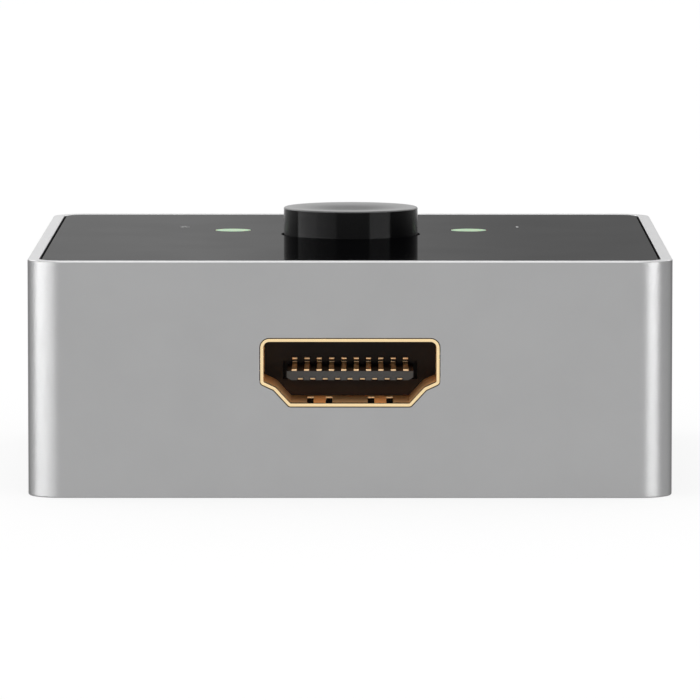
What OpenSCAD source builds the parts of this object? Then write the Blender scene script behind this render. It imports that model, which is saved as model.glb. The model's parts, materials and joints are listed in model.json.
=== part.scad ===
// Two-way switch box for 19-pin video leads, in millimetres.
// A machined aluminium ring holds a gloss black top panel and a screwed bottom cover.
// One socket faces the front (-Y), two face the back (+Y), and a round push button on top
// swaps them. +Z is up, and the origin is on the table under the middle of the case.

/* [Case] */
// Width of the case, side to side
case_w = 52; // [50:0.5:70]
// Depth of the case, front to back
case_d = 52; // [50:0.5:70]
// Height of the case without the button
case_h = 19.1; // [18:0.1:26]
// Outer radius of the upright corners
corner_r = 2.85; // [2.4:0.05:4]
// Thickness of the frame's wall between its two rebates
frame_wall = 1.8; // [1.5:0.05:2.2]
// Width of the bare rim that shows round the top panel
rim_w = 0.95; // [0.7:0.05:1.3]
// Chamfer on the outer edges of the frame and the cover
edge_break = 0.08; // [0.05:0.01:0.25]
// Chamfer on the edges either side of the gap round the panel
rim_break = 0.05; // [0.03:0.01:0.12]

/* [Top panel and bottom cover] */
// Thickness of the top panel
panel_t = 1.5; // [1:0.1:2.5]
// Gap between the frame's rim and the panel, or the cover
rim_gap = 0.18; // [0.08:0.01:0.3]
// Thickness of the tape that holds the panel
tape_t = 0.2; // [0.1:0.05:0.4]
// Thickness of the bottom cover
cover_t = 1.6; // [1.4:0.1:2.4]
// How far the cover lies above the frame's lower edge
cover_recess = 0.2; // [0.1:0.05:0.6]

/* [Screws] */
// Diameter of the screws
screw_d = 2; // [1.6:0.1:2.4]
// Diameter of the screw heads
head_d = 3.8; // [3.2:0.1:4.4]
// Height of the board screws' heads
head_h = 1.2; // [0.8:0.1:1.8]
// Diameter of the board screws' heads at the top
head_top_d = 3; // [2.6:0.1:3.6]
// Length of the cover screws with their heads
cover_screw_l = 8; // [6:0.5:12]
// Length of the board screws below their heads
board_screw_l = 4.5; // [3.5:0.1:5]
// Distance of the corner screws from the case's faces
screw_inset = 4.2; // [3.8:0.1:5]
// Wall round each screw hole
screw_wall = 1.6; // [1.2:0.1:1.9]

/* [Board] */
// Thickness of the circuit board
board_t = 1.6; // [1:0.1:2]
// Height of the board's upper face above the table
board_z = 7.4; // [6.5:0.05:8.5]
// Gap between the board and the frame
board_gap = 0.4; // [0.2:0.05:0.8]
// Distance of the board screws from the board's side edges
board_screw_inset = 3.8; // [3:0.1:5]
// Distance of the board screws in front of and behind the middle
board_screw_y = 9; // [7:0.5:11]

/* [Sockets] */
// Outer width of a socket's shell
shell_w = 14.4; // [13:0.01:16]
// Outer height of a socket's shell
shell_h = 5.46; // [5:0.01:6.5]
// Height of the shell's upright sides
shell_side_h = 3.63; // [3:0.01:4]
// Width of the shell where the steps below its sides end
shell_step_w = 12.25; // [11.5:0.01:12.8]
// Height of those steps
shell_step_h = 0.5; // [0.3:0.01:0.8]
// Width of the shell's floor
shell_floor_w = 9.78; // [9:0.01:11]
// Radius of the shell's two upper corners
shell_r = 0.72; // [0.5:0.01:1]
// Thickness of the shell's sheet
sheet_t = 0.24; // [0.2:0.01:0.35]
// Length of the shell behind its mouth
shell_l = 11; // [10:0.1:12.5]
// Depth of the wall inside the socket behind its mouth
well_l = 6.6; // [5.5:0.1:8]
// Gap between the back sockets and the frame's corner posts
socket_gap = 1.3; // [0.8:0.1:2]
// How far the front socket's mouth lies inside the front face
front_setback = 0.05; // [0:0.05:1]
// How far the back sockets' mouths lie inside the back face
back_setback = 0.5; // [0:0.05:1.2]
// Gap between a shell and its cut-out in the frame
cutout_gap = 0.07; // [0.05:0.01:0.3]

/* [Contacts] */
// Width of the tongue that carries the contacts
tongue_w = 10.2; // [9.8:0.1:11]
// Thickness of the tongue
tongue_t = 0.73; // [0.5:0.01:1]
// Height of the tongue's underside above the board
tongue_z = 1.93; // [1.8:0.01:2.3]
// How far the tongue's tip lies inside the mouth
tongue_setback = 2; // [1:0.1:3]
// Distance from one contact to the next
contact_pitch = 1; // [0.95:0.01:1.05]
// Width of a contact on the tongue
contact_w = 0.42; // [0.3:0.01:0.5]
// Width of a contact's soldered tail
tail_w = 0.26; // [0.2:0.01:0.3]
// Thickness of an upper contact
contact_t = 0.17; // [0.12:0.01:0.22]
// Thickness of a lower contact
lower_contact_t = 0.12; // [0.1:0.01:0.2]

/* [Button and switch] */
// Diameter of the button
button_d = 11.3; // [9.5:0.1:13]
// Height of the button above the panel
button_proud = 2.3; // [2:0.1:4]
// How far the button can be pressed
button_travel = 1.6; // [1:0.1:2]
// Distance of the button's axis behind the middle of the case
button_y = 2.8; // [1:0.1:4]
// Gap round the button in the panel
button_gap = 0.2; // [0.1:0.05:0.4]
// Rounding of the button's upper edge
button_round = 0.16; // [0.1:0.02:0.6]
// Depth of the dish in the button's top
dish_depth = 0.12; // [0.05:0.01:0.4]
// Thickness of the button's skirt and roof
button_wall = 1.1; // [0.8:0.1:1.5]
// Width of the push switch's housing
switch_w = 7; // [6.4:0.1:8]
// Thickness of the housing's walls, floor and roof
switch_wall = 0.8; // [0.6:0.05:1]
// Width of the plunger's square stem
stem_w = 3; // [2.4:0.1:3.4]
// Diameter of the return spring's wire
spring_wire_d = 0.3; // [0.2:0.02:0.36]
// Number of turns of the return spring
spring_turns = 4.5; // [3:0.5:5]

/* [Indicators] */
// Diameter of the two round windows
window_d = 3; // [2:0.1:4]
// Distance of each window from the middle, sideways
window_x = 10; // [9:0.1:13]
// Distance of the windows behind the middle of the case
window_y = 7.05; // [6:0.05:8]
// Diameter of the collar under the panel on each light pipe
collar_d = 4.2; // [3.4:0.1:5]

/* [Board parts] */
// Width of the switching chip's body
chip_w = 6; // [5:0.5:7]
// Height of the switching chip
chip_h = 1.1; // [0.8:0.1:1.4]
// Leads on each side of the chip
chip_leads = 10; // [6:1:12]
// Length of the small capacitors and resistors
passive_l = 1.6; // [1:0.1:2]
// Width and height of the small capacitors and resistors
passive_w = 0.8; // [0.5:0.05:1]
// Length of the surge arrays behind the sockets
array_l = 2.5; // [2:0.1:3]

/* [Hidden] */
$fn = 64;

// Clearance of pieces that are held in each other
fit_gap = 0.03;
// How far cutting shapes run past what they cut
past = 1;
// How far joined shapes run into each other
sunk = 0.5;

// Levels of the case
cover_seat_z = cover_recess + cover_t;
panel_z = case_h - panel_t;
panel_seat_z = panel_z - tape_t;

// Frame section: distance out from the corner's axis, then height
frame_profile = [
    [corner_r, edge_break],
    [corner_r, case_h - edge_break],
    [corner_r - edge_break, case_h],
    [corner_r - rim_w + rim_break, case_h],
    [corner_r - rim_w, case_h - rim_break],
    [corner_r - rim_w, panel_seat_z],
    [corner_r - frame_wall, panel_seat_z],
    [corner_r - frame_wall, cover_seat_z],
    [corner_r - rim_w, cover_seat_z],
    [corner_r - rim_w, rim_break],
    [corner_r - rim_w + rim_break, 0],
    [corner_r - edge_break, 0]
];

// Outline of the panel and of the cover
insert_inset = rim_w + rim_gap;
insert_w = case_w - 2 * insert_inset;
insert_d = case_d - 2 * insert_inset;
insert_r = corner_r - insert_inset;

// Screw holes, the corner channels that hold the cover's screws, and the board's posts
screw_hole_d = screw_d + 2 * fit_gap;
boss_d = screw_hole_d + 2 * screw_wall;
boss_x = case_w / 2 - screw_inset;
boss_y = case_d / 2 - screw_inset;
corner_fill = corner_r - (corner_r - frame_wall / 2) / sqrt(2);
boss_reach = screw_inset - corner_fill;
countersink_h = (head_d - screw_d) / 2;
screw_tip_room = 0.5;
recess_w = 0.5;
recess_l = 2.1;
recess_h = 0.6;

// Board outline
board_w = case_w - 2 * (frame_wall + board_gap);
board_d = case_d - 2 * (frame_wall + board_gap);
board_x = board_w / 2 - board_screw_inset;
notch_x = boss_x - boss_d / 2 - board_gap;
notch_y = boss_y - boss_d / 2 - board_gap;
board_hole_gap = 0.1;
board_hole_d = screw_d + 2 * board_hole_gap;

// Place of the back sockets
socket_x = boss_x - boss_d / 2 - socket_gap - shell_w / 2;

// Socket shell, in a frame with y going in from the mouth and z up from the board
shell_step_z = shell_h - shell_side_h - shell_step_h;
shell_side_z = shell_h - shell_side_h;
shell_bend_r = 0.32;
least_bend_r = 0.05;
shell_points = [
    [shell_floor_w / 2, 0],
    [shell_step_w / 2, shell_step_z],
    [shell_w / 2, shell_side_z],
    [shell_w / 2, shell_h],
    [-shell_w / 2, shell_h],
    [-shell_w / 2, shell_side_z],
    [-shell_step_w / 2, shell_step_z],
    [-shell_floor_w / 2, 0]
];
shell_radii = [
    shell_bend_r, -shell_bend_r, shell_bend_r, shell_r,
    shell_r, shell_bend_r, -shell_bend_r, shell_bend_r
];
arc_steps = 6;

// Spring tabs in the shell's floor and roof
tab_x = 2.45;
tab_w = 0.97;
tab_slot_w = 0.54;
tab_y0 = 0.35;
tab_y1 = 5.4;
tab_crest = 1.05;
tab_tip = 0.5;
tab_rise = 0.18;
tab_tip_rise = 0.1;

// Soldered legs of the shell
leg_w = 1;
leg_front = 4;
leg_back = 1.6;
leg_y = [leg_front, shell_l - leg_back];
leg_tip = 0.4;
leg_below = board_t + leg_tip;
leg_gap = 0.15;

// Insulator behind the tongue and the pocket that the tongue comes out of
insulator_past = 0.1;
insulator_l = shell_l + insulator_past;
tongue_bevel_w = 0.4;
tongue_bevel_h = 0.22;
tongue_top_z = tongue_z + tongue_t;
pocket_side = 0.35;
pocket_w = tongue_w + 2 * pocket_side;
pocket_l = 1.5;
pocket_over = 0.38;
pocket_under = 0.35;

// Contacts
upper_count = 10;
lower_count = 9;
contact_start = 0.05;
lower_recess = 0.05;
lower_z = tongue_z + lower_recess;
riser_y = well_l + pocket_l - contact_t - fit_gap;
run_rise = 0.13;
run_z = tongue_top_z + pocket_over + run_rise;
run_tip = 0.03;
drop_y = insulator_l + fit_gap;
foot_l = 1.2;
socket_l = drop_y + foot_l;

// Button, with the flange that keeps it under the panel
button_r = button_d / 2;
button_top_z = case_h + button_proud;
button_roof_z = button_top_z - dish_depth - button_wall;
flange_gap = 0.3;
flange_w = 0.9;
flange_t = 1;
flange_z = panel_z - flange_gap;
flange_low_z = flange_z - flange_t;
stem_hole_w = stem_w + 2 * fit_gap;
stem_boss_wall = 0.5;
stem_boss_r = norm([stem_hole_w, stem_hole_w]) / 2 + stem_boss_wall;
dish_margin = 0.3;
dish_r = button_r - button_round - dish_margin;
dish_steps = 10;

// Push switch under the button: the plunger's foot slides in the housing on a return spring
switch_clear = 0.6;
switch_h = flange_low_z - button_travel - switch_clear - board_z;
cavity_w = switch_w - 2 * switch_wall;
cavity_h = switch_h - 2 * switch_wall;
slide_gap = 0.1;
foot_gap = 0.3;
foot_room = 0.6;
foot_wall = 0.77;
foot_w = cavity_w - 2 * foot_gap;
foot_z = switch_wall + button_travel + foot_room;
foot_top_z = switch_h - switch_wall - slide_gap;
wiper_inset = 0.7;
wiper_t = foot_gap - slide_gap;
wiper_w = foot_w - 2 * wiper_inset;
wiper_h = foot_top_z - foot_z - 2 * wiper_inset;
terminal_t = 0.2;
terminal_w = 0.6;
terminal_pitch = 2;
terminal_hole_d = 0.9;
terminal_top_z = switch_h - 2 * switch_wall;
terminal_tip = 0.6;
terminal_below = board_t + terminal_tip;
terminal_y = cavity_w / 2 + terminal_t / 2;

// Return spring
spring_bore_r = foot_w / 2 - foot_wall;
spring_r = spring_bore_r - spring_wire_d / 2 - slide_gap;
spring_top_z = foot_top_z - switch_wall;
spring_end = spring_wire_d / 2 + fit_gap;
spring_ring = 8;
spring_sides = 6;

// Light pipes and lamps
pipe_gap = 0.3;
collar_h = 0.8;
led_l = 2;
led_w = 1.25;
led_h = 0.8;
led_lens_l = 1.2;

// Board parts
lead_w = 0.22;
lead_t = 0.15;
lead_l = 1;
lead_shoulder = 0.4;
lead_margin = 0.75;
lead_pitch = (chip_w - 2 * lead_margin) / (chip_leads - 1);
chip_standoff = 0.1;
array_w = 1;
array_h = 0.55;
array_x = 2.2;
array_gap = 0.8;
array_end = socket_l + array_gap + array_w;
chip_y = (-case_d / 2 + front_setback + array_end + button_y - switch_w / 2) / 2;
passive_gap = 0.8;
passive_pitch = passive_w + passive_gap;
passive_x = chip_w / 2 + lead_l + passive_gap + passive_l / 2;
capacitor_rows = 4;
resistor_rows = 2;
resistor_gap = 1.2;
resistor_h = 0.4;
resistor_x = window_x + window_d / 2 + resistor_gap + passive_l / 2;

function unit(v) = v / norm(v);

function outward(a, b) = unit([b.y - a.y, a.x - b.x]);

// Outline moved out by t on every side, or in where t is negative
function moved_out(points, t) = [
    for (i = [0:len(points) - 1])
        let (
            n = len(points),
            before = outward(points[(i + n - 1) % n], points[i]),
            after = outward(points[i], points[(i + 1) % n])
        )
        points[i] + t * (before + after) / (1 + before * after)
];

// Corner radii that suit an outline moved out by t: inside bends have a negative radius
function moved_radii(radii, t) = [
    for (r = radii) max(abs(r + t), least_bend_r)
];

// Arc in place of corner b, from the side towards a to the side towards c
function corner_arc(a, b, c, r) =
    let (
        u = unit(a - b),
        v = unit(c - b),
        half = acos(u * v) / 2,
        middle = b + unit(u + v) * r / sin(half),
        start = b + u * r / tan(half) - middle,
        from = atan2(start.y, start.x),
        turn = -sign(cross(u, v)) * (180 - 2 * half)
    )
    [
        for (i = [0:arc_steps])
            middle + r * [cos(from + turn * i / arc_steps), sin(from + turn * i / arc_steps)]
    ];

function rounded(points, radii) = [
    for (i = [0:len(points) - 1])
        let (n = len(points))
        each corner_arc(points[(i + n - 1) % n], points[i], points[(i + 1) % n], radii[i])
];

function shell_outline(t) = rounded(moved_out(shell_points, t), moved_radii(shell_radii, t));

// Places
module at_corners(x, y) {
    for (sx = [0, 1], sy = [0, 1])
        mirror([sx, 0, 0])
            mirror([0, sy, 0])
                translate([x, y, 0])
                    children();
}

module at_output() {
    translate([0, -case_d / 2 + front_setback, board_z])
        children();
}

module at_input(side) {
    translate([side * socket_x, case_d / 2 - back_setback, board_z])
        rotate(180)
            children();
}

module at_sockets() {
    at_output()
        children();
    for (side = [1, -1])
        at_input(side)
            children();
}

module at_switch() {
    translate([0, button_y, board_z])
        children();
}

// A flat shape drawn in x and z, and drawn out along y
module along_y(y0, y1) {
    translate([0, y1, 0])
        rotate([90, 0, 0])
            linear_extrude(y1 - y0)
                children();
}

// A flat shape drawn in y and z, and drawn out along x
module along_x(x0, x1) {
    translate([x0, 0, 0])
        rotate([90, 0, 90])
            linear_extrude(x1 - x0)
                children();
}

// A section taken round a rectangle with round corners
module round_sweep(w, d, r) {
    for (i = [0:3]) {
        a = i % 2 == 0 ? w : d;
        b = i % 2 == 0 ? d : w;
        rotate(90 * i)
            translate([a / 2 - r, b / 2 - r, 0]) {
                rotate_extrude(angle = 90)
                    children();
                rotate([90, 0, 0])
                    linear_extrude(b - 2 * r)
                        children();
            }
    }
}

// A plate with round corners and a chamfer on its upper and its lower edge
module plate(w, d, r, z0, z1, low, high) {
    round_sweep(w, d, r)
        polygon([[0, z0], [r - low, z0], [r, z0 + low], [r, z1 - high], [r - high, z1], [0, z1]]);
    translate([-w / 2 + r, -d / 2 + r, z0])
        cube([w - 2 * r, d - 2 * r, z1 - z0]);
}

module rounded_rect(w, d, r) {
    square([w - 2 * r, d], center = true);
    square([w, d - 2 * r], center = true);
    for (sx = [-1, 1], sy = [-1, 1])
        translate([sx * (w / 2 - r), sy * (d / 2 - r)])
            circle(r);
}

module block(w, d, h) {
    translate([-w / 2, -d / 2, 0])
        cube([w, d, h]);
}

module cross_recess() {
    for (a = [0, 90])
        rotate(a)
            block(recess_l, recess_w, recess_h + past);
}

// Case
module corner_channel() {
    translate([0, 0, cover_seat_z]) {
        cylinder(d = boss_d, h = panel_seat_z - cover_seat_z);
        cube([boss_reach, boss_reach, panel_seat_z - cover_seat_z]);
    }
}

module outer_frame() {
    color("silver")
        difference() {
            union() {
                round_sweep(case_w, case_d, corner_r)
                    polygon(frame_profile);
                at_corners(boss_x, boss_y)
                    corner_channel();
            }
            at_corners(boss_x, boss_y)
                translate([0, 0, cover_seat_z - past])
                    cylinder(d = screw_hole_d, h = cover_screw_l - cover_t + screw_tip_room + past);
            at_sockets()
                along_y(-back_setback - front_setback - past, frame_wall + past)
                    polygon(shell_outline(cutout_gap));
        }
}

module top_panel() {
    color("#141416")
        difference() {
            plate(insert_w, insert_d, insert_r, panel_z, case_h, 0, rim_break);
            translate([0, button_y, panel_z - past])
                cylinder(d = button_d + 2 * button_gap, h = panel_t + 2 * past);
            for (side = [-1, 1])
                translate([side * window_x, window_y, panel_z - past])
                    cylinder(d = window_d + 2 * fit_gap, h = panel_t + 2 * past);
        }
}

module panel_tape() {
    color("#2b2b2b")
        translate([0, 0, panel_seat_z])
            linear_extrude(tape_t)
                difference() {
                    rounded_rect(insert_w, insert_d, insert_r);
                    rounded_rect(case_w - 2 * frame_wall, case_d - 2 * frame_wall, corner_r - frame_wall);
                }
}

module bottom_cover() {
    color("#1c1c1e")
        difference() {
            union() {
                plate(insert_w, insert_d, insert_r, cover_recess, cover_seat_z, edge_break, 0);
                at_corners(board_x, board_screw_y)
                    translate([0, 0, cover_seat_z])
                        cylinder(d = boss_d, h = board_z - board_t - cover_seat_z);
            }
            at_corners(board_x, board_screw_y)
                translate([0, 0, board_z - board_screw_l - screw_tip_room])
                    cylinder(d = screw_hole_d, h = board_screw_l);
            at_corners(boss_x, boss_y)
                translate([0, 0, cover_recess]) {
                    cylinder(d1 = head_d + 2 * fit_gap, d2 = screw_hole_d, h = countersink_h);
                    cylinder(d = screw_hole_d, h = cover_t + past);
                }
        }
}

module cover_screws() {
    color("#8d8f92")
        at_corners(boss_x, boss_y)
            translate([0, 0, cover_recess])
                difference() {
                    union() {
                        cylinder(d1 = head_d, d2 = screw_d, h = countersink_h);
                        cylinder(d = screw_d, h = cover_screw_l);
                    }
                    translate([0, 0, -past])
                        cross_recess();
                }
}

// Board
module leg_slots() {
    for (side = [-1, 1], y = leg_y)
        translate([side * (shell_w - sheet_t) / 2, y])
            square([sheet_t + 2 * leg_gap, leg_w + 2 * leg_gap], center = true);
}

module circuit_board() {
    color("#18191b")
        translate([0, 0, board_z - board_t])
            difference() {
                linear_extrude(board_t)
                    difference() {
                        square([board_w, board_d], center = true);
                        at_corners(notch_x, notch_y)
                            square(board_w);
                    }
                at_corners(board_x, board_screw_y)
                    translate([0, 0, -past])
                        cylinder(d = board_hole_d, h = board_t + 2 * past);
                for (i = [-1:1], side = [-1, 1])
                    translate([i * terminal_pitch, button_y + side * terminal_y, -past])
                        cylinder(d = terminal_hole_d, h = board_t + 2 * past);
                translate([0, 0, -board_z - past])
                    at_sockets()
                        linear_extrude(board_t + 2 * past)
                            leg_slots();
            }
}

module board_screws() {
    color("#9a9ca0")
        at_corners(board_x, board_screw_y)
            translate([0, 0, board_z])
                difference() {
                    union() {
                        cylinder(d1 = head_d, d2 = head_top_d, h = head_h);
                        translate([0, 0, -board_screw_l])
                            cylinder(d = screw_d, h = board_screw_l + sunk);
                    }
                    translate([0, 0, head_h - recess_h])
                        cross_recess();
                }
}

// Sockets
module tab_window() {
    for (side = [-1, 1])
        translate([side * tab_x, (tab_y0 + tab_y1) / 2, -past])
            block(tab_w + 2 * tab_slot_w, tab_y1 - tab_y0, sheet_t + past + tab_rise);
}

module tabs() {
    for (side = [-1, 1])
        along_x(side * tab_x - tab_w / 2, side * tab_x + tab_w / 2)
            polygon([
                [tab_y0 - sheet_t, 0],
                [tab_y0 + sheet_t, 0],
                [tab_y1 - tab_crest, tab_rise],
                [tab_y1 - tab_tip, tab_tip_rise],
                [tab_y1 - tab_tip, tab_tip_rise + sheet_t],
                [tab_y1 - tab_crest, tab_rise + sheet_t],
                [tab_y0 + sheet_t, sheet_t],
                [tab_y0 - sheet_t, sheet_t]
            ]);
}

module at_roof() {
    translate([0, 0, shell_h])
        mirror([0, 0, 1])
            children();
}

module socket_shell() {
    color("#d9b45f") {
        difference() {
            along_y(0, shell_l)
                difference() {
                    polygon(shell_outline(0));
                    polygon(shell_outline(-sheet_t));
                }
            tab_window();
            at_roof()
                tab_window();
        }
        tabs();
        at_roof()
            tabs();
        for (side = [-1, 1], y = leg_y)
            translate([side * (shell_w - sheet_t) / 2, y, -leg_below])
                block(sheet_t, leg_w, leg_below + shell_h / 2);
    }
}

module channel(x, w, y0, z0, y1, z1) {
    translate([x - w / 2 - fit_gap, y0, z0 - fit_gap])
        cube([w + 2 * fit_gap, y1 - y0, z1 - z0 + 2 * fit_gap]);
}

function contact_x(i, count) = (i - (count - 1) / 2) * contact_pitch;

module insulator_body() {
    difference() {
        along_y(well_l, insulator_l)
            polygon(shell_outline(-sheet_t - fit_gap));
        translate([-pocket_w / 2, well_l - past, tongue_z - pocket_under])
            cube([pocket_w, pocket_l + past, tongue_t + pocket_over + pocket_under]);
        for (i = [0:upper_count - 1]) {
            x = contact_x(i, upper_count);
            channel(x, contact_w, well_l - past, run_z, riser_y + contact_t + fit_gap, run_z + contact_t);
            channel(x, contact_w, riser_y - fit_gap, tongue_top_z, riser_y + contact_t + fit_gap, run_z);
            channel(x, tail_w, riser_y, run_z, insulator_l + past, run_z + contact_t);
        }
    }
}

module tongue() {
    along_y(tongue_setback, well_l + pocket_l + sunk)
        polygon([
            [-tongue_w / 2, tongue_top_z],
            [-tongue_w / 2, tongue_z + tongue_bevel_h],
            [-tongue_w / 2 + tongue_bevel_w, tongue_z],
            [tongue_w / 2 - tongue_bevel_w, tongue_z],
            [tongue_w / 2, tongue_z + tongue_bevel_h],
            [tongue_w / 2, tongue_top_z]
        ]);
}

// The lower contacts lie in grooves in the tongue's underside
module socket_insulator() {
    groove_z = tongue_z - pocket_under;
    color("#1a1715")
        difference() {
            union() {
                insulator_body();
                tongue();
            }
            for (i = [0:lower_count - 1]) {
                x = contact_x(i, lower_count);
                channel(x, contact_w, tongue_setback - past, groove_z, riser_y, lower_z + lower_contact_t);
                channel(x, contact_w, riser_y, lower_z, insulator_l + past, lower_z + lower_contact_t);
            }
        }
}

// Soldered tail of a contact of thickness t that runs back at height z
module tail(z, t) {
    along_x(-tail_w / 2, tail_w / 2) {
        translate([drop_y, 0])
            square([t, z + t]);
        translate([drop_y, 0])
            square([foot_l, t]);
        translate([riser_y, z])
            square([drop_y + t - riser_y, t]);
    }
}

module socket_upper_contacts() {
    color("#c9a45c")
        for (i = [0:upper_count - 1])
            translate([contact_x(i, upper_count), 0, 0]) {
                along_x(-contact_w / 2, contact_w / 2) {
                    translate([tongue_setback + contact_start, tongue_top_z])
                        square([riser_y + contact_t - tongue_setback - contact_start, contact_t]);
                    translate([riser_y, tongue_top_z])
                        square([contact_t, run_z - tongue_top_z + contact_t]);
                    translate([well_l - run_tip, run_z])
                        square([riser_y + contact_t - well_l + run_tip, contact_t]);
                }
                tail(run_z, contact_t);
            }
}

module socket_lower_contacts() {
    color("#c9a45c")
        for (i = [0:lower_count - 1])
            translate([contact_x(i, lower_count), 0, 0]) {
                along_x(-contact_w / 2, contact_w / 2)
                    translate([tongue_setback + contact_start, lower_z])
                        square([riser_y + contact_t - tongue_setback - contact_start, lower_contact_t]);
                tail(lower_z, lower_contact_t);
            }
}

// Button and switch
module button_cap() {
    skirt_r = button_r - button_wall;
    round_z = button_top_z - button_round;
    dish = [
        for (i = [0:dish_steps])
            let (r = dish_r * i / dish_steps)
            [r, button_top_z - dish_depth * (1 - pow(i / dish_steps, 2))]
    ];
    edge = [
        for (i = [0:arc_steps])
            let (a = 90 * (1 - i / arc_steps))
            [button_r - button_round + button_round * cos(a), round_z + button_round * sin(a)]
    ];
    under = [
        [button_r, flange_z],
        [button_r + flange_w, flange_z],
        [button_r + flange_w, flange_low_z],
        [skirt_r, flange_low_z],
        [skirt_r, button_roof_z],
        [stem_boss_r, button_roof_z],
        [stem_boss_r, flange_low_z],
        [0, flange_low_z]
    ];
    color("#1b1b1d")
        translate([0, button_y, 0])
            difference() {
                rotate_extrude()
                    polygon(concat(dish, edge, under));
                translate([0, 0, flange_low_z - past])
                    block(stem_hole_w, stem_hole_w, button_roof_z - flange_low_z + past);
            }
}

module switch_plunger() {
    color("#e8e6df")
        at_switch()
            difference() {
                union() {
                    translate([0, 0, foot_z])
                        block(foot_w, foot_w, foot_top_z - foot_z);
                    translate([0, 0, foot_top_z - sunk])
                        block(stem_w, stem_w, button_roof_z - board_z - foot_top_z + sunk);
                }
                translate([0, 0, foot_z - past])
                    cylinder(r = spring_bore_r, h = spring_top_z - foot_z + past);
            }
}

module switch_wipers() {
    color("#cfcfd2")
        at_switch()
            for (side = [-1, 1])
                translate([0, side * (foot_w + wiper_t) / 2, foot_z + (foot_top_z - foot_z - wiper_h) / 2])
                    block(wiper_w, wiper_t, wiper_h);
}

module switch_housing() {
    color("#2a2a2c")
        at_switch()
            difference() {
                block(switch_w, switch_w, switch_h);
                translate([0, 0, switch_wall])
                    block(cavity_w, cavity_w, cavity_h);
                translate([0, 0, switch_h - switch_wall - past])
                    block(stem_w + 2 * slide_gap, stem_w + 2 * slide_gap, switch_wall + 2 * past);
                for (i = [-1:1], side = [-1, 1])
                    translate([i * terminal_pitch, side * terminal_y, -past])
                        block(
                            terminal_w + 2 * fit_gap, terminal_t + 2 * fit_gap,
                            terminal_top_z + fit_gap + past
                        );
            }
}

module switch_terminals() {
    color("#d8d8da")
        at_switch()
            for (i = [-1:1], side = [-1, 1])
                translate([i * terminal_pitch, side * terminal_y, -terminal_below])
                    block(terminal_w, terminal_t, terminal_below + terminal_top_z);
}

function spring_point(i, j, rings) =
    let (
        along = i / rings,
        a = 360 * spring_turns * along,
        z = switch_wall + spring_end + along * (spring_top_z - switch_wall - 2 * spring_end),
        b = 360 * j / spring_sides,
        r = spring_r + spring_wire_d / 2 * cos(b)
    )
    [r * cos(a), r * sin(a), z + spring_wire_d / 2 * sin(b)];

module switch_spring() {
    rings = ceil(spring_turns * spring_ring);
    points = [
        for (i = [0:rings], j = [0:spring_sides - 1])
            spring_point(i, j, rings)
    ];
    sides = [
        for (i = [0:rings - 1], j = [0:spring_sides - 1])
            let (
                a = i * spring_sides + j,
                b = i * spring_sides + (j + 1) % spring_sides
            )
            each [[a, a + spring_sides, b], [b, a + spring_sides, b + spring_sides]]
    ];
    ends = [
        for (j = [1:spring_sides - 2])
            each [
                [0, j, j + 1],
                [rings * spring_sides, rings * spring_sides + j + 1, rings * spring_sides + j]
            ]
    ];
    color("#b9bbbe")
        at_switch()
            polyhedron(points, concat(sides, ends));
}

// Indicators
module light_pipe(side) {
    low_z = board_z + led_h + pipe_gap;
    color("#cfe8cf")
        translate([side * window_x, window_y, 0]) {
            translate([0, 0, low_z])
                cylinder(d = window_d, h = case_h - low_z);
            translate([0, 0, panel_z - collar_h])
                cylinder(d = collar_d, h = collar_h);
        }
}

module led(side) {
    color("#f1efe2")
        translate([side * window_x, window_y, board_z]) {
            block(led_l, led_w, led_h / 2);
            block(led_lens_l, led_w, led_h);
        }
}

// Board parts
module mux_chip() {
    color("#242426")
        translate([0, chip_y, board_z + chip_standoff])
            block(chip_w, chip_w, chip_h - chip_standoff);
}

module mux_leads() {
    knee_z = chip_h / 2;
    color("#c4c6c8")
        translate([0, chip_y, board_z])
            for (side = [0:3], i = [0:chip_leads - 1])
                rotate(90 * side)
                    translate([0, (i - (chip_leads - 1) / 2) * lead_pitch, 0])
                        rotate(90)
                            along_x(-lead_w / 2, lead_w / 2)
                                polygon([
                                    [-chip_w / 2, knee_z],
                                    [-chip_w / 2 - lead_shoulder, knee_z],
                                    [-chip_w / 2 - lead_shoulder, lead_t],
                                    [-chip_w / 2 - lead_l, lead_t],
                                    [-chip_w / 2 - lead_l, 0],
                                    [-chip_w / 2 - lead_shoulder + lead_t, 0],
                                    [-chip_w / 2 - lead_shoulder + lead_t, knee_z - lead_t],
                                    [-chip_w / 2, knee_z - lead_t]
                                ]);
}

module surge_arrays() {
    color("#2e2e30")
        at_sockets()
            for (side = [-1, 1])
                translate([side * array_x, array_end - array_w / 2, 0])
                    block(array_l, array_w, array_h);
}

function row_y(i, count) = (i - (count - 1) / 2) * passive_pitch;

module capacitors() {
    color("#b58f63")
        for (side = [-1, 1], i = [0:capacitor_rows - 1])
            translate([side * passive_x, chip_y + row_y(i, capacitor_rows), board_z])
                block(passive_l, passive_w, passive_w);
}

module resistors() {
    color("#202022")
        for (side = [-1, 1], i = [0:resistor_rows - 1])
            translate([side * resistor_x, window_y + row_y(i, resistor_rows), board_z])
                block(passive_l, passive_w, resistor_h);
}

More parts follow.
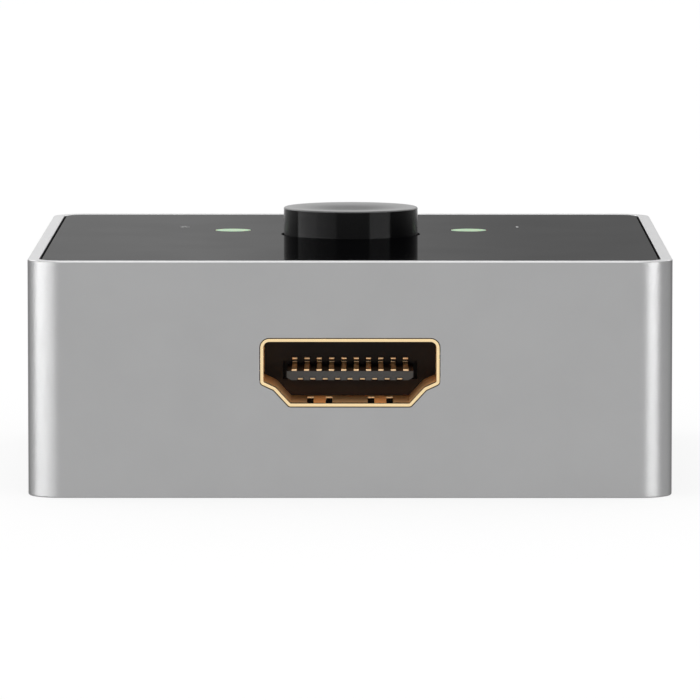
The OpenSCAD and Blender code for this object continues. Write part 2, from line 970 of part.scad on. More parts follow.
outer_frame();
top_panel();
panel_tape();
bottom_cover();
cover_screws();
circuit_board();
board_screws();
at_output() socket_shell();  // output_shell
at_output() socket_insulator();  // output_insulator
at_output() socket_upper_contacts();  // output_upper_contacts
at_output() socket_lower_contacts();  // output_lower_contacts
at_input(1) socket_shell();  // input_1_shell
at_input(1) socket_insulator();  // input_1_insulator
at_input(1) socket_upper_contacts();  // input_1_upper_contacts
at_input(1) socket_lower_contacts();  // input_1_lower_contacts
at_input(-1) socket_shell();  // input_2_shell
at_input(-1) socket_insulator();  // input_2_insulator
at_input(-1) socket_upper_contacts();  // input_2_upper_contacts
at_input(-1) socket_lower_contacts();  // input_2_lower_contacts
button_cap();
switch_plunger();
switch_wipers();
switch_spring();
switch_housing();
switch_terminals();
light_pipe(1);  // light_pipe_1
light_pipe(-1);  // light_pipe_2
led(1);  // led_1
led(-1);  // led_2
mux_chip();
mux_leads();
surge_arrays();
capacitors();
resistors();
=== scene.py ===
"""Two-way video switch box: finishes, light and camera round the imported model.

Lengths are in metres, in the model's own frame: +Z is up and the single socket faces -Y.
"""
import json
import math

import bmesh
import bpy
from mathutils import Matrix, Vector

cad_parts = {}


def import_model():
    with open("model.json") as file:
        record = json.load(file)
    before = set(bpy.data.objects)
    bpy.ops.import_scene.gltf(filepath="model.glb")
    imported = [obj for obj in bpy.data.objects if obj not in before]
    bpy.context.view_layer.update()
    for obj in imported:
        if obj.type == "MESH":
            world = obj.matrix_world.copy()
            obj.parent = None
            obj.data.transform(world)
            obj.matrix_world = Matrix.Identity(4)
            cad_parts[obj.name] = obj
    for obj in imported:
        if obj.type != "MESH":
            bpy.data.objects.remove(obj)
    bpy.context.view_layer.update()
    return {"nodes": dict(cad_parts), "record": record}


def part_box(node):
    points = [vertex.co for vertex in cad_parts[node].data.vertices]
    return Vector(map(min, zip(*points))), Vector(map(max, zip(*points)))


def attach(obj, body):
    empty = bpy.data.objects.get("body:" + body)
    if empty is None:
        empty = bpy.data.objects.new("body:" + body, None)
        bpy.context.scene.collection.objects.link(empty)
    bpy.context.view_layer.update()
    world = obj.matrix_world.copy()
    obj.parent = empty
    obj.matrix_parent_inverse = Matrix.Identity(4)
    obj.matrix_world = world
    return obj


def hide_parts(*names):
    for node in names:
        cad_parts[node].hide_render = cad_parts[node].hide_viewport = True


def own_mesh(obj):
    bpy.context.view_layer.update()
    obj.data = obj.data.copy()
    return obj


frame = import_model()
RECORD = frame["record"]
NODES = frame["nodes"]
SLOT_OF = {part["node"]: part["material_slot"] for part in RECORD["subparts"]}
BODY_OF = {node: body for body, nodes in RECORD["behaviour"]["bodies"].items() for node in nodes}
SOCKETS = ("output", "input_1", "input_2")

MM = 0.001

# Camera, at the photograph's viewing angle
CAMERA_PLACE = Vector((1.33, -575.27, 63.65)) * MM
CAMERA_PITCH = math.radians(-5.375)
CAMERA_YAW = math.radians(-0.138)
CAMERA_LENS = 353.4
CAMERA_SENSOR = 36.0
CAMERA_FAR = 100.0

# Studio surroundings: degrees to the right of straight behind the box, then brightness
LOWEST_RING = (
    (-180, 1.0), (-157, 1.0), (-154, 6.0), (-119, 12.0), (-118, 15.0), (-79, 15.0), (-76, 0.8), (-0.9, 0.96),
    (0.8, 0.6), (30, 0.48), (84, 0.05), (108, 0.05), (110, 13.5), (146, 13.5), (148, 1.0), (180, 1.0),
)
LOW_RING = (
    (-180, 1.2), (-150, 1.2), (-120, 0.8), (-79, 0.8), (-76, 0.8), (-0.9, 0.96), (0.8, 0.6), (30, 0.48), (84, 0.05),
    (108, 0.05), (110, 0.8), (150, 1.2), (180, 1.2),
)
MIDDLE_RING = (
    (-180, 0.8), (-150, 0.8), (-120, 0.6), (-79, 0.6), (-45, 0.5), (30, 0.5), (50, 0.1), (108, 0.1), (110, 0.6),
    (150, 0.8), (180, 0.8),
)
HIGH_RING = ((-180, 1.0), (-79, 1.0), (-60, 1.9), (40, 1.9), (60, 0.6), (108, 0.6), (110, 1.0), (180, 1.0))
BRIGHTEST = 20.0
ABOVE = 1.0
OVERHEAD = 1.9
# Heights at which each zone gives way to the next, as the sine of the elevation
LOWEST_TO_LOW = (0.05, 0.09)
LOW_TO_MIDDLE = (0.12, 0.2)
MIDDLE_TO_HIGH = (0.26, 0.38)
HIGH_TO_ABOVE = (0.5, 0.62)
ABOVE_TO_OVERHEAD = (0.93, 0.98)
FLOOR_REACH = 6.0
FLOOR_COLOR = 0.93
FLOOR_WHITE = 0.8

# Edge rounding of the pieces that show, and its segments
ROUNDED = {
    "outer_frame": 0.04 * MM,
    "top_panel": 0.03 * MM,
    "button_cap": 0.05 * MM,
    "bottom_cover": 0.05 * MM,
    "cover_screws": 0.05 * MM,
}
for socket in SOCKETS:
    ROUNDED[f"{socket}_shell"] = 0.03 * MM
    ROUNDED[f"{socket}_upper_contacts"] = 0.04 * MM
    ROUNDED[f"{socket}_lower_contacts"] = 0.04 * MM
ROUND_SEGMENTS = 3
EDGE_ANGLE = math.radians(25)
FLAT_ANGLE = math.radians(0.3)
WELD = 0.0005 * MM
WELD_DIGITS = 6
LEVEL = 0.999

# Faces with extra finishes: least part of the normal along the axis that a face looks along
FACING = 0.7
# Cut ends of the sockets' sheet lie within this distance of the middle
CUT_END_WITHIN = 24.0 * MM
# Spring tabs: distance aside from a socket's middle, half width, start and end behind the mouth, and top
TAB_X = 2.45 * MM
TAB_HALF_WIDTH = 0.4 * MM
TAB_START = 0.5 * MM
TAB_END = 5.4 * MM
TAB_BELOW = 8.0 * MM
# How far round a socket's shell the walls of its cut-out are looked for
CUTOUT_REACH = 0.3 * MM

# Where one colour of a piece gives way to another: from the button's axis, from the middle of the box, and in height
SHEEN_AND_LACQUER_FADE = (1.0 * MM, 5.6 * MM)
MOUTH_FADE = (24.9 * MM, 25.4 * MM)
TONGUE_FADE = (19.6 * MM, 21.5 * MM)
BOUNCE_FADE = (7.9 * MM, 9.3 * MM)
GOLD_BAND_FADE = (7.46 * MM, 7.51 * MM)

# Return spring: radius of its wire, how far the CAD's six-sided wire reaches up and down, turns, and steps
WIRE_R = 0.15 * MM
WIRE_REACH = math.sin(math.radians(60))
SPRING_TURNS = 4.5
TURN_STEPS = 32
WIRE_SIDES = 12

# Printed numerals on the panel, upright for someone behind the box
NUMERALS = {"numeral_1": ("1", 14.2 * MM), "numeral_2": ("2", -14.2 * MM)}
NUMERAL_Y = 10.6 * MM
NUMERAL_HEIGHT = 2.1 * MM
NUMERAL_DEPTH = 0.008 * MM


# Shader nodes

class Finish:
    """A Principled material with short ways to give it detail. Plain values go on the shader's own sockets."""

    def __init__(self, name, color, roughness, **values):
        self.material = bpy.data.materials.new(name)
        self.material.use_nodes = True
        self.tree = self.material.node_tree
        self.shader = self.tree.nodes["Principled BSDF"]
        self.shader.inputs["Base Color"].default_value = (*color, 1.0)
        self.shader.inputs["Roughness"].default_value = roughness
        for key, value in values.items():
            self.shader.inputs[key.replace("_", " ").title().replace("Ior", "IOR")].default_value = value
        self.place = self.node("TexCoord").outputs["Object"]

    def node(self, kind, **settings):
        made = self.tree.nodes.new("ShaderNode" + kind)
        for key, value in settings.items():
            setattr(made, key, value)
        return made

    def link(self, output, target):
        self.tree.links.new(output, target)

    def noise(self, size, detail=2.0, stretch=(1.0, 1.0, 1.0)):
        """Noise with features about size across, drawn out along each axis by stretch."""
        mapping = self.node("Mapping")
        mapping.inputs["Scale"].default_value = [1.0 / (size * s) for s in stretch]
        self.link(self.place, mapping.inputs["Vector"])
        noise = self.node("TexNoise")
        noise.inputs["Scale"].default_value = 1.0
        noise.inputs["Detail"].default_value = detail
        self.link(mapping.outputs["Vector"], noise.inputs["Vector"])
        return noise.outputs["Fac"]

    def along(self, axis):
        split = self.node("SeparateXYZ")
        self.link(self.place, split.inputs["Vector"])
        return split.outputs[axis]

    def height(self):
        """Height of the surface point above the table, in metres."""
        return self.along("Z")

    def from_middle(self):
        """Distance of the surface point in front of or behind the middle of the box, in metres."""
        distance = self.node("Math", operation="ABSOLUTE")
        self.link(self.along("Y"), distance.inputs[0])
        return distance.outputs["Value"]

    def distance(self, point):
        """Distance of the surface point from a fixed point, in metres."""
        made = self.node("VectorMath", operation="DISTANCE")
        self.link(self.place, made.inputs[0])
        made.inputs[1].default_value = point
        return made.outputs["Value"]

    def spread(self, value, low, high, start=0.3, end=0.7):
        """Value from start to end turned into low to high."""
        made = self.node("MapRange", interpolation_type="SMOOTHSTEP")
        for key, number in (("From Min", start), ("From Max", end), ("To Min", low), ("To Max", high)):
            made.inputs[key].default_value = number
        self.link(value, made.inputs["Value"])
        return made.outputs["Result"]

    def ramp(self, value, low, high, start=0.0, end=1.0):
        """Colour that goes from low to high as value goes from start to end."""
        ramp = self.node("ValToRGB")
        for stop, at, color in zip(ramp.color_ramp.elements, (start, end), (low, high)):
            stop.position = at
            stop.color = (*color, 1.0)
        self.link(value, ramp.inputs["Fac"])
        return ramp.outputs["Color"]

    def colors(self, value, low, high, start=0.3, end=0.7):
        """Base colour that goes from low to high as value goes from start to end."""
        self.link(self.ramp(value, low, high, start, end), self.shader.inputs["Base Color"])

    def layer(self, value, under, over):
        """Base colour that goes from another colour to a plain one as value goes from 0 to 1."""
        mix = self.node("MixRGB")
        self.link(value, mix.inputs["Fac"])
        self.link(under, mix.inputs["Color1"])
        mix.inputs["Color2"].default_value = (*over, 1.0)
        self.link(mix.outputs["Color"], self.shader.inputs["Base Color"])

    def roughness(self, value, low, high, start=0.3, end=0.7):
        self.link(self.spread(value, low, high, start, end), self.shader.inputs["Roughness"])

    def bump(self, height, depth):
        """Relief of depth metres from a height of 0 to 1."""
        bump = self.node("Bump")
        bump.inputs["Strength"].default_value = 1.0
        bump.inputs["Distance"].default_value = depth
        self.link(height, bump.inputs["Height"])
        self.link(bump.outputs["Normal"], self.shader.inputs["Normal"])


# Finishes, one for each material slot

def blasted(name, level, tint):
    """Finely blasted aluminium: base brightness, and the tint of its reflections at a flat angle."""
    finish = Finish(name, (level, level, level), 0.33, metallic=1.0)
    finish.shader.inputs["Specular Tint"].default_value = (tint, tint, tint, 1.0)
    grain = finish.noise(0.07 * MM, 2.0, (1.6, 1.6, 1.0))
    shades = [(level * k, level * k, level * (k + 0.006)) for k in (0.985, 1.015)]
    finish.colors(finish.noise(4.0 * MM, 3.0), *shades)
    finish.roughness(grain, 0.29, 0.36)
    finish.bump(grain, 0.0035 * MM)
    return finish.material


def anodised_aluminium(name):
    return blasted(name, 0.37, 0.35)


# Up-facing faces of the frame: the same aluminium made lighter and with a paler flat-angle tint, a painted highlight.
def painted_top_light(name):
    return blasted(name, 0.59, 1.0)


def gloss_black_panel(name):
    """Black under a thin, slightly uneven lacquer that mirrors weakly."""
    finish = Finish(name, (0.001, 0.001, 0.0012), 0.05, specular_ior_level=0.0, coat_roughness=0.045)
    lacquer = finish.spread(finish.noise(9.0 * MM, 4.0), 0.243, 0.257)
    finish.link(lacquer, finish.shader.inputs["Coat Weight"])
    finish.colors(finish.noise(0.4 * MM, 2.0), (0.0008, 0.0008, 0.001), (0.0013, 0.0013, 0.0016))
    return finish.material


def black_button(name):
    """Gloss sides, turned so finely that reflections on them run up and down."""
    finish = Finish(
        name, (0.002, 0.002, 0.0022), 0.2, specular_ior_level=0.13, anisotropic=1.0, anisotropic_rotation=0.25,
    )
    around = finish.node("Tangent", direction_type="RADIAL", axis="Z")
    finish.link(around.outputs["Tangent"], finish.shader.inputs["Tangent"])
    finish.colors(finish.noise(0.15 * MM, 2.0), (0.0016, 0.0016, 0.0018), (0.0025, 0.0025, 0.0028))
    finish.roughness(finish.noise(2.0 * MM, 3.0), 0.19, 0.21)
    return finish.material


def satin_top(name):
    """Satin top of the button, its colour lighter towards the edge as a painted sheen, under a lacquer coat that thins
    towards the middle.
    """
    low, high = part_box("button_cap")
    finish = Finish(name, (0.02, 0.02, 0.0205), 0.42, specular_ior_level=0.28, coat_roughness=0.42)
    middle = ((low.x + high.x) / 2, (low.y + high.y) / 2, high.z)
    edge = finish.spread(finish.distance(middle), 0.0, 1.0, *SHEEN_AND_LACQUER_FADE)
    # Painted sheen: the colour grows lighter from the middle of the top to its edge.
    finish.colors(edge, (0.014, 0.014, 0.0145), (0.04, 0.04, 0.0405), 0.0, 1.0)
    finish.link(edge, finish.shader.inputs["Coat Weight"])
    grain = finish.noise(0.06 * MM, 2.0)
    finish.roughness(grain, 0.36, 0.46)
    finish.bump(grain, 0.002 * MM)
    return finish.material


def black_cover(name):
    finish = Finish(name, (0.018, 0.018, 0.019), 0.55)
    grain = finish.noise(0.35 * MM, 3.0)
    finish.roughness(grain, 0.48, 0.64)
    finish.bump(grain, 0.02 * MM)
    return finish.material


def adhesive_tape(name):
    finish = Finish(name, (0.02, 0.02, 0.02), 0.8)
    grain = finish.noise(0.2 * MM)
    finish.roughness(grain, 0.7, 0.9)
    finish.bump(grain, 0.01 * MM)
    return finish.material


def metal(name, color, low, high, size, depth, stretch=(1.0, 1.0, 1.0)):
    """Bare or plated metal whose roughness goes from low to high over marks of that size and depth."""
    finish = Finish(name, color, (low + high) / 2, metallic=1.0)
    marks = finish.noise(size, 3.0, stretch)
    finish.roughness(marks, low, high)
    finish.bump(marks, depth)
    return finish.material


def screw_steel(name):
    return metal(name, (0.5, 0.5, 0.51), 0.22, 0.42, 0.15 * MM, 0.003 * MM)


def gold_plate(name):
    """Bright gold at the mouth; duller inside the socket, and browner there as painted shade and bounce light."""
    finish = Finish(name, (0.95, 0.76, 0.47), 0.2, metallic=1.0)
    mouth = finish.spread(finish.from_middle(), 0.0, 1.0, *MOUTH_FADE)
    finish.colors(mouth, (0.97, 0.62, 0.31), (0.91, 0.7, 0.405), 0.0, 1.0)
    finish.roughness(mouth, 0.62, 0.2, 0.0, 1.0)
    finish.bump(finish.noise(0.12 * MM, 3.0, (1.0, 6.0, 1.0)), 0.0008 * MM)
    return finish.material


def tab_gold(name):
    """Spring tabs in the sockets' floor, part of the shell's sheet, coloured a stronger orange than the rest of it as
    painted bounce light.
    """
    return metal(name, (1.0, 0.5, 0.18), 0.72, 0.84, 0.12 * MM, 0.0008 * MM, (1.0, 6.0, 1.0))


def cutout_painted_shade(name):
    """Dull walls of the frame's cut-outs, painted dark brown as painted shade in the gaps round the sockets."""
    return metal(name, (0.06, 0.036, 0.02), 0.55, 0.75, 0.1 * MM, 0.002 * MM)


# Near-black painted shade for the cut ends inside the sockets.
CUT_END_SHADE = (0.012, 0.008, 0.005)


def cut_end_painted_shade(name):
    """Ends where the socket's sheet was cut, painted near-black as painted shade, with a thin band of plain gold along
    the top of its floor.
    """
    finish = Finish(name, CUT_END_SHADE, 0.65, metallic=1.0)
    gold_band = finish.spread(finish.height(), 0.0, 1.0, *GOLD_BAND_FADE)
    finish.colors(gold_band, CUT_END_SHADE, (0.97, 0.66, 0.36), 0.0, 1.0)
    finish.roughness(gold_band, 0.65, 0.2, 0.0, 1.0)
    finish.bump(finish.noise(0.1 * MM, 3.0), 0.002 * MM)
    return finish.material


def contact_gold(name):
    return metal(name, (0.86, 0.6, 0.34), 0.27, 0.33, 0.5 * MM, 0.0002 * MM)


def terminal_tin(name):
    return metal(name, (0.72, 0.72, 0.73), 0.22, 0.4, 0.1 * MM, 0.001 * MM)


def spring_steel(name):
    return metal(name, (0.56, 0.56, 0.57), 0.18, 0.3, 0.1 * MM, 0.0008 * MM)


def moulded(name, dark, light, low, high, size, depth):
    """Moulded or sintered stuff with a fine grain of that size and depth."""
    finish = Finish(name, light, (low + high) / 2)
    grain = finish.noise(size, 3.0)
    finish.colors(grain, dark, light)
    finish.roughness(grain, low, high)
    finish.bump(grain, depth)
    return finish.material


# Insulator body: browner low down as painted bounce light from the gold floor, near-black higher up as painted shade.
PAINTED_BOUNCE_BROWN = (0.034, 0.018, 0.0095)
DEEP_PAINTED_SHADE = (0.0075, 0.0048, 0.003)


def insulator_black(name):
    """Black insulator, near-black deep in the socket as painted shade and browner low down as painted bounce light from
    the gold floor, with a greyer tongue near the mouth.
    """
    finish = Finish(name, (0.006, 0.004, 0.003), 0.45, specular_ior_level=0.15)
    body = finish.ramp(finish.spread(finish.height(), 0.0, 1.0, *BOUNCE_FADE), PAINTED_BOUNCE_BROWN, DEEP_PAINTED_SHADE)
    tongue = finish.spread(finish.from_middle(), 0.0, 1.0, *TONGUE_FADE)
    finish.layer(tongue, body, (0.055, 0.054, 0.053))
    grain = finish.noise(0.1 * MM, 3.0)
    finish.roughness(grain, 0.4, 0.52)
    finish.bump(grain, 0.002 * MM)
    return finish.material


def plunger_white(name):
    return moulded(name, (0.74, 0.72, 0.66), (0.8, 0.78, 0.72), 0.35, 0.45, 0.3 * MM, 0.003 * MM)


def switch_black(name):
    return moulded(name, (0.022, 0.022, 0.024), (0.034, 0.034, 0.036), 0.45, 0.6, 0.25 * MM, 0.006 * MM)


def chip_black(name):
    return moulded(name, (0.016, 0.016, 0.018), (0.026, 0.026, 0.028), 0.6, 0.75, 0.12 * MM, 0.006 * MM)


def capacitor_tan(name):
    return moulded(name, (0.38, 0.26, 0.15), (0.5, 0.36, 0.23), 0.45, 0.6, 0.1 * MM, 0.003 * MM)


def resistor_black(name):
    return moulded(name, (0.014, 0.014, 0.014), (0.024, 0.024, 0.024), 0.2, 0.35, 0.2 * MM, 0.002 * MM)


def led_yellow(name):
    return moulded(name, (0.8, 0.74, 0.42), (0.88, 0.84, 0.6), 0.15, 0.25, 0.3 * MM, 0.001 * MM)


def board_black(name):
    finish = Finish(name, (0.008, 0.008, 0.009), 0.72, specular_ior_level=0.15)
    tracks = finish.node("TexBrick")
    tracks.inputs["Scale"].default_value = 1.0 / (1.6 * MM)
    tracks.inputs["Mortar Size"].default_value = 0.09
    finish.link(finish.place, tracks.inputs["Vector"])
    finish.colors(tracks.outputs["Fac"], (0.006, 0.006, 0.007), (0.012, 0.012, 0.013), 0.2, 0.8)
    finish.roughness(finish.noise(0.5 * MM, 3.0), 0.66, 0.78)
    finish.bump(tracks.outputs["Fac"], 0.02 * MM)
    return finish.material


def light_pipe_green(name):
    finish = Finish(
        name, (0.42, 0.61, 0.4), 0.18, subsurface_weight=0.2, subsurface_scale=0.8 * MM, specular_ior_level=0.0,
        coat_weight=0.25, coat_roughness=0.18,
    )
    cloud = finish.noise(0.8 * MM, 2.0)
    finish.colors(cloud, (0.385, 0.57, 0.37), (0.455, 0.65, 0.43))
    finish.bump(finish.noise(0.25 * MM), 0.002 * MM)
    return finish.material


def numeral_print():
    finish = Finish("numeral_print", (0.2, 0.2, 0.2), 0.4)
    finish.colors(finish.noise(0.1 * MM), (0.17, 0.17, 0.17), (0.23, 0.23, 0.23))
    return finish.material


MAKERS = (
    anodised_aluminium, gloss_black_panel, black_button, black_cover, adhesive_tape, screw_steel,
    board_black, gold_plate, insulator_black, contact_gold, plunger_white, switch_black, terminal_tin,
    spring_steel, light_pipe_green, led_yellow, chip_black, capacitor_tan, resistor_black,
)
FINISHES = {make.__name__: make(make.__name__ + "_finish") for make in MAKERS}
for node, slot in SLOT_OF.items():
    NODES[node].material_slots[0].material = FINISHES[slot]


# Extra finishes of a piece, and tests for the faces that take them

def near_level(degrees):
    """Faces that look up and lean less than this from level."""
    least = math.cos(math.radians(degrees))
    return lambda face: face.normal.z > least


def cut_end(face):
    """Cut ends of a socket's sheet, well inside its mouth."""
    return abs(face.normal.y) > FACING and abs(face.calc_center_median().y) < CUT_END_WITHIN


def on_tab(low, high):
    """Upper faces of the spring tabs in the floor of the socket whose shell has these corners."""
    mouth = max(abs(low.y), abs(high.y))

    def test(face):
        center = face.calc_center_median()
        aside = abs(center.x - (low.x + high.x) / 2)
        inside = mouth - abs(center.y)
        on_it = abs(aside - TAB_X) < TAB_HALF_WIDTH and TAB_START < inside < TAB_END
        return face.normal.z > FACING and on_it and center.z < TAB_BELOW

    return test


def in_cutout(face):
    """Walls of the frame's cut-outs round the sockets."""
    center = face.calc_center_median()
    for low, high in SHELL_BOXES:
        beside = low.x - CUTOUT_REACH < center.x < high.x + CUTOUT_REACH
        level = low.z - CUTOUT_REACH < center.z < high.z + CUTOUT_REACH
        if beside and level and center.y * low.y > 0 and abs(face.normal.y) < FACING:
            return True
    return False


SHELL_BOXES = [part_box(f"{socket}_shell") for socket in SOCKETS]
CUT_END_PAINTED_SHADE = cut_end_painted_shade("cut_end_painted_shade_finish")
TAB_GOLD = tab_gold("tab_gold_finish")
EXTRA_FINISHES = {
    # The frame's up-facing faces take a painted highlight, and the walls of its cut-outs a painted shade.
    "outer_frame": ((cutout_painted_shade("cutout_painted_shade_finish"), in_cutout), (painted_top_light("painted_top_light_finish"), near_level(50))),
    "button_cap": ((satin_top("satin_top_finish"), near_level(72)),),
}
for socket, box in zip(SOCKETS, SHELL_BOXES):
    EXTRA_FINISHES[f"{socket}_shell"] = ((CUT_END_PAINTED_SHADE, cut_end), (TAB_GOLD, on_tab(*box)))


# Pieces whose edges show

def cut_at_windows(shape):
    """Cuts a shell along its length at the corners of the windows in its floor and roof, so that no face has a hole."""
    corners = [
        loop.vert.co.x for face in shape.faces if abs(face.normal.z) > LEVEL
        for loop in face.loops if not loop.is_convex
    ]
    for x in sorted({round(x, WELD_DIGITS) for x in corners}):
        everything = [*shape.verts, *shape.edges, *shape.faces]
        bmesh.ops.bisect_plane(shape, geom=everything, dist=WELD, plane_co=(x, 0.0, 0.0), plane_no=(1.0, 0.0, 0.0))


def rounded_copy(node, width):
    """A piece of the node's own shape, with its faces whole and its edges rounded by width."""
    mesh = bpy.data.meshes.new(node + "_rounded")
    shape = bmesh.new()
    shape.from_mesh(NODES[node].data)
    bmesh.ops.remove_doubles(shape, verts=shape.verts, dist=WELD)
    bmesh.ops.dissolve_limit(shape, angle_limit=FLAT_ANGLE, verts=shape.verts, edges=shape.edges)
    if node.endswith("_shell"):
        cut_at_windows(shape)
    extras = EXTRA_FINISHES.get(node, ())
    for material in (FINISHES[SLOT_OF[node]], *[extra for extra, test in extras]):
        mesh.materials.append(material)
    for face in shape.faces:
        face.smooth = True
        face.material_index = next((i for i, (extra, test) in enumerate(extras, 1) if test(face)), 0)
    shape.to_mesh(mesh)
    shape.free()
    piece = bpy.data.objects.new(node + "_rounded", mesh)
    bpy.context.scene.collection.objects.link(piece)
    bevel = piece.modifiers.new("edges", "BEVEL")
    bevel.width = width
    bevel.segments = ROUND_SEGMENTS
    bevel.limit_method = "ANGLE"
    bevel.angle_limit = EDGE_ANGLE
    bevel.miter_outer = "MITER_ARC"
    normals = piece.modifiers.new("normals", "WEIGHTED_NORMAL")
    normals.keep_sharp = True
    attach(piece, BODY_OF[node])
    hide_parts(node)


for node, width in ROUNDED.items():
    rounded_copy(node, width)


# Return spring

def return_spring():
    """A smooth coil in place of the switch's spring, which on the real switch shortens as the button goes down."""
    low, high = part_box("switch_spring")
    middle = (low + high) / 2
    radius = (high.x - low.x) / 2 - WIRE_R
    first_z = low.z + WIRE_R * WIRE_REACH
    last_z = high.z - WIRE_R * WIRE_REACH
    rings = round(SPRING_TURNS * TURN_STEPS)
    shape = bmesh.new()
    before = None
    for i in range(rings + 1):
        turn = math.tau * SPRING_TURNS * i / rings
        z = first_z + (last_z - first_z) * i / rings
        ring = []
        for j in range(WIRE_SIDES):
            side = math.tau * j / WIRE_SIDES
            r = radius + WIRE_R * math.cos(side)
            ring.append(shape.verts.new((
                middle.x + r * math.cos(turn), middle.y + r * math.sin(turn), z + WIRE_R * math.sin(side),
            )))
        if before is None:
            shape.faces.new(ring)
        else:
            for j in range(WIRE_SIDES):
                k = (j + 1) % WIRE_SIDES
                shape.faces.new((before[j], before[k], ring[k], ring[j]))
        before = ring
    shape.faces.new(before)
    bmesh.ops.recalc_face_normals(shape, faces=shape.faces)
    for face in shape.faces:
        face.smooth = len(face.verts) == 4
    mesh = bpy.data.meshes.new("return_spring")
    mesh.materials.append(FINISHES["spring_steel"])
    shape.to_mesh(mesh)
    shape.free()
    piece = bpy.data.objects.new("return_spring", mesh)
    bpy.context.scene.collection.objects.link(piece)
    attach(piece, "case")
    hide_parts("switch_spring")
    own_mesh(piece)


return_spring()


# Numerals

def numeral(name, text, x, material):
    """A printed numeral on the panel, turned to read from behind."""
    curve = bpy.data.curves.new(name + "_outline", "FONT")
    curve.body = text
    curve.size = NUMERAL_HEIGHT
    curve.extrude = NUMERAL_DEPTH
    curve.align_x = "CENTER"
    curve.align_y = "CENTER"
    source = bpy.data.objects.new(name + "_source", curve)
    bpy.context.scene.collection.objects.link(source)
    graph = bpy.context.evaluated_depsgraph_get()
    mesh = bpy.data.meshes.new_from_object(source.evaluated_get(graph))
    bpy.data.objects.remove(source)
    mesh.materials.clear()
    mesh.materials.append(material)
    piece = bpy.data.objects.new(name, mesh)
    bpy.context.scene.collection.objects.link(piece)
    piece.location = (x, NUMERAL_Y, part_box("top_panel")[1].z)
    piece.rotation_euler = (0.0, 0.0, math.pi)
    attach(piece, "case")


PRINT = numeral_print()
for name, (text, x) in NUMERALS.items():
    numeral(name, text, x, PRINT)


# Studio

def floor():
    """Pale floor that is white to the camera and in reflections, and keeps the object's shadow."""
    bpy.ops.mesh.primitive_plane_add(size=2 * FLOOR_REACH)
    plane = bpy.context.object
    plane.name = "studio_floor"
    material = bpy.data.materials.new("studio_floor")
    material.use_nodes = True
    tree = material.node_tree
    tree.nodes.remove(tree.nodes["Principled BSDF"])
    diffuse = tree.nodes.new("ShaderNodeBsdfDiffuse")
    diffuse.inputs["Color"].default_value = (FLOOR_COLOR, FLOOR_COLOR, FLOOR_COLOR, 1.0)
    glow = tree.nodes.new("ShaderNodeEmission")
    path = tree.nodes.new("ShaderNodeLightPath")
    seen = path.outputs["Is Camera Ray"]
    for ray in ("Is Glossy Ray", "Is Transmission Ray"):
        either = tree.nodes.new("ShaderNodeMath")
        either.operation = "MAXIMUM"
        tree.links.new(seen, either.inputs[0])
        tree.links.new(path.outputs[ray], either.inputs[1])
        seen = either.outputs["Value"]
    share = tree.nodes.new("ShaderNodeMath")
    share.operation = "MULTIPLY"
    share.inputs[1].default_value = FLOOR_WHITE
    tree.links.new(seen, share.inputs[0])
    mix = tree.nodes.new("ShaderNodeMixShader")
    tree.links.new(share.outputs["Value"], mix.inputs["Fac"])
    tree.links.new(diffuse.outputs["BSDF"], mix.inputs[1])
    tree.links.new(glow.outputs["Emission"], mix.inputs[2])
    tree.links.new(mix.outputs["Shader"], tree.nodes["Material Output"].inputs["Surface"])
    plane.data.materials.append(material)


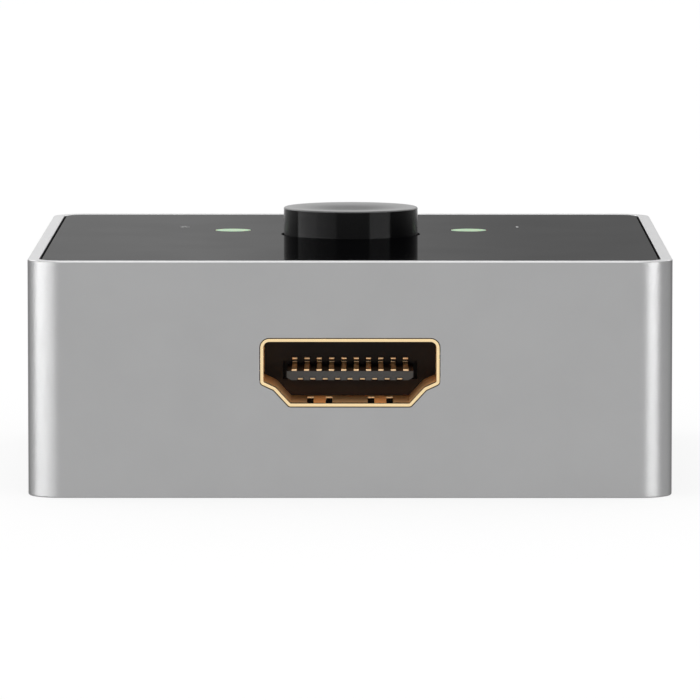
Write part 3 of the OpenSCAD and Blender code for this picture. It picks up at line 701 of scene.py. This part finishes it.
def world():
    """Soft studio surroundings in zones, from the horizon up to straight overhead."""
    made = bpy.data.worlds.new("studio")
    bpy.context.scene.world = made
    made.use_nodes = True
    tree = made.node_tree
    split = tree.nodes.new("ShaderNodeSeparateXYZ")
    tree.links.new(tree.nodes.new("ShaderNodeTexCoord").outputs["Generated"], split.inputs["Vector"])
    bearing = tree.nodes.new("ShaderNodeMath")
    bearing.operation = "ARCTAN2"
    tree.links.new(split.outputs["X"], bearing.inputs[0])
    tree.links.new(split.outputs["Y"], bearing.inputs[1])

    def ranged(value, start, end):
        made = tree.nodes.new("ShaderNodeMapRange")
        made.inputs["From Min"].default_value = start
        made.inputs["From Max"].default_value = end
        tree.links.new(value, made.inputs["Value"])
        return made.outputs["Result"]

    turn = ranged(bearing.outputs["Value"], -math.pi, math.pi)

    def ring(levels):
        made = tree.nodes.new("ShaderNodeValToRGB")
        stops = made.color_ramp.elements
        while len(stops) < len(levels):
            stops.new(1.0)
        for stop, (degrees, level) in zip(stops, levels):
            stop.position = 0.5 + degrees / 360.0
            stop.color = (*[level / BRIGHTEST] * 3, 1.0)
        tree.links.new(turn, made.inputs["Fac"])
        return made.outputs["Color"]

    def zones(low, heights, high):
        """Low below the first height, high above the second."""
        made = tree.nodes.new("ShaderNodeMix")
        tree.links.new(ranged(split.outputs["Z"], *heights), made.inputs["Factor"])
        tree.links.new(low, made.inputs["A"])
        if isinstance(high, float):
            made.inputs["B"].default_value = high / BRIGHTEST
        else:
            tree.links.new(high, made.inputs["B"])
        return made.outputs["Result"]

    level = zones(ring(LOWEST_RING), LOWEST_TO_LOW, ring(LOW_RING))
    level = zones(level, LOW_TO_MIDDLE, ring(MIDDLE_RING))
    level = zones(level, MIDDLE_TO_HIGH, ring(HIGH_RING))
    level = zones(level, HIGH_TO_ABOVE, ABOVE)
    level = zones(level, ABOVE_TO_OVERHEAD, OVERHEAD)
    tree.links.new(level, tree.nodes["Background"].inputs["Strength"])
    tree.nodes["Background"].inputs["Color"].default_value = (BRIGHTEST, BRIGHTEST, BRIGHTEST, 1.0)


def camera():
    """Camera with no shift, turned by the yaw and pitch above."""
    made = bpy.data.cameras.new("camera")
    made.lens = CAMERA_LENS
    made.sensor_width = CAMERA_SENSOR
    made.sensor_fit = "HORIZONTAL"
    made.clip_end = CAMERA_FAR
    eye = bpy.data.objects.new("camera", made)
    bpy.context.scene.collection.objects.link(eye)
    eye.location = CAMERA_PLACE
    look = Vector((
        math.sin(CAMERA_YAW) * math.cos(CAMERA_PITCH),
        math.cos(CAMERA_YAW) * math.cos(CAMERA_PITCH),
        math.sin(CAMERA_PITCH),
    ))
    eye.rotation_euler = look.to_track_quat("-Z", "Y").to_euler()
    bpy.context.scene.camera = eye


floor()
world()
camera()
bpy.context.scene.view_settings.view_transform = "Standard"
